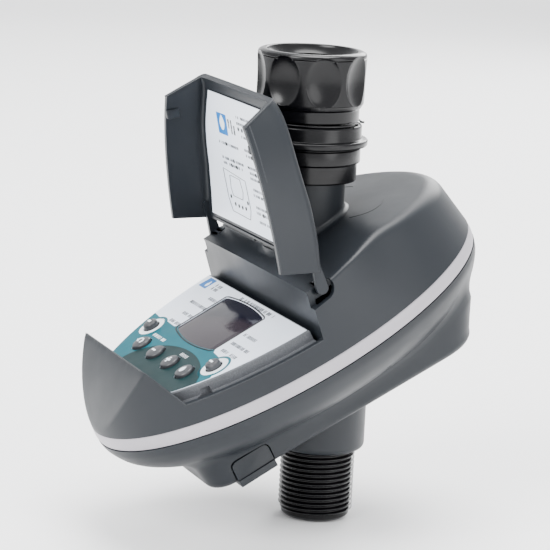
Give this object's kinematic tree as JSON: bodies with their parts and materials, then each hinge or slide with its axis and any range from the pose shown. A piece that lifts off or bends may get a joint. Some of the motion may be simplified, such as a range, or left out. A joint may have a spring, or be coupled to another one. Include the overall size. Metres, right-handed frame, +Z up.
{
  "type": "hose-end irrigation controller",
  "caption": "Tap-mounted irrigation controller with a tilted oval case, an open hinged lid over a display and push buttons, a swivel inlet nut and a threaded outlet.",
  "frame": {"origin": "middle of the swivel nut's mouth, on the inlet axis", "axes": "+Z up along the inlet axis towards the tap, -Y towards the nose of the case, X across the case"},
  "size_m": [0.1032, 0.1371, 0.1665],
  "materials": {
    "case_grey": "satin moulded plastic with a fine grain",
    "panel_grey": "spark-eroded matt moulding",
    "trim_grey": "satin pale moulding",
    "fitting_black": "glossy glass-filled nylon",
    "seal_rubber": "matt black rubber",
    "strainer_mesh": "fine woven wire",
    "stainless": "bright drawn wire and turned steel",
    "label_film": "printed film, satin",
    "display_glass": "glossy dark window",
    "display_frame": "display glass and frame",
    "board_green": "lacquered circuit board",
    "button_grey": "satin grey key tops",
    "valve_nylon": "black moulded nylon",
    "coil_moulding": "potted coil",
    "cell_jacket": "shrink-wrapped jacket"
  },
  "bodies": {
    "case": {"hose_washer": "seal_rubber", "filter_screen": "strainer_mesh", "inlet_adapter": "fitting_black", "snap_ring": "stainless", "inlet_o_ring": "seal_rubber", "upper_shell": "case_grey", "trim_band": "trim_grey", "case_seal": "seal_rubber", "lower_shell": "case_grey", "case_screw_1": "stainless", "case_screw_2": "stainless", "case_screw_3": "stainless", "case_screw_4": "stainless", "control_panel": "panel_grey", "panel_label": "label_film", "display_window": "display_glass", "display_module": "display_frame", "circuit_board": "board_green", "board_screw_1": "stainless", "board_screw_2": "stainless", "keypad_mat": "seal_rubber", "hinge_pin_right": "stainless", "hinge_pin_left": "stainless", "valve_body": "valve_nylon", "valve_bonnet": "valve_nylon", "solenoid_coil": "coil_moulding", "outlet_nipple": "fitting_black", "outlet_o_ring": "seal_rubber", "battery_cell_1": "cell_jacket", "battery_cell_2": "cell_jacket", "battery_contact_right": "stainless", "battery_contact_left": "stainless"},
    "nut": {"swivel_nut": "fitting_black"},
    "lid": {"lid": "case_grey", "lid_label": "label_film"},
    "door": {"battery_door": "case_grey", "door_seal": "seal_rubber"},
    "mode_key": {"button_mode": "button_grey"},
    "manual_key": {"button_manual": "button_grey"},
    "back_key": {"button_back": "button_grey"},
    "minus_key": {"button_minus": "button_grey"},
    "plus_key": {"button_plus": "button_grey"},
    "next_key": {"button_next": "button_grey"},
    "diaphragm": {"diaphragm": "seal_rubber", "diaphragm_spring": "stainless"},
    "plunger": {"plunger": "stainless", "plunger_spring": "stainless"}
  },
  "joints": [
    {"name": "nut_spin", "type": "hinge", "parent": "case", "child": "nut", "pos_m": [0, 0, -0.012], "axis": [0, 0, 1], "continuous": true},
    {"name": "lid_hinge", "type": "hinge", "parent": "case", "child": "lid", "pos_m": [0, -0.01358, -0.07319], "axis": [1, 0, 0], "range_deg": [0, 107.2]},
    {"name": "battery_door_slide", "type": "slide", "parent": "case", "child": "door", "axis": [0, 0.4848, -0.8746], "range_m": [0, 0.012]},
    {"name": "mode_press", "type": "slide", "parent": "case", "child": "mode_key", "axis": [0, 0.4848, -0.8746], "range_m": [0, 0.001], "stiffness_N_per_m": 700, "springref_m": -0.0008},
    {"name": "manual_press", "type": "slide", "parent": "case", "child": "manual_key", "axis": [0, 0.4848, -0.8746], "range_m": [0, 0.001], "stiffness_N_per_m": 700, "springref_m": -0.0008},
    {"name": "back_press", "type": "slide", "parent": "case", "child": "back_key", "axis": [0, 0.4848, -0.8746], "range_m": [0, 0.0009], "stiffness_N_per_m": 700, "springref_m": -0.0008},
    {"name": "minus_press", "type": "slide", "parent": "case", "child": "minus_key", "axis": [0, 0.4848, -0.8746], "range_m": [0, 0.0009], "stiffness_N_per_m": 700, "springref_m": -0.0008},
    {"name": "plus_press", "type": "slide", "parent": "case", "child": "plus_key", "axis": [0, 0.4848, -0.8746], "range_m": [0, 0.0009], "stiffness_N_per_m": 700, "springref_m": -0.0008},
    {"name": "next_press", "type": "slide", "parent": "case", "child": "next_key", "axis": [0, 0.4848, -0.8746], "range_m": [0, 0.0009], "stiffness_N_per_m": 700, "springref_m": -0.0008},
    {"name": "diaphragm_lift", "type": "slide", "parent": "case", "child": "diaphragm", "axis": [0, 1, 0], "range_m": [0, 0.0012], "stiffness_N_per_m": 300, "springref_m": -0.002},
    {"name": "plunger_slide", "type": "slide", "parent": "case", "child": "plunger", "axis": [0, 1, 0], "range_m": [0, 0.001], "stiffness_N_per_m": 300, "springref_m": -0.002}
  ]
}
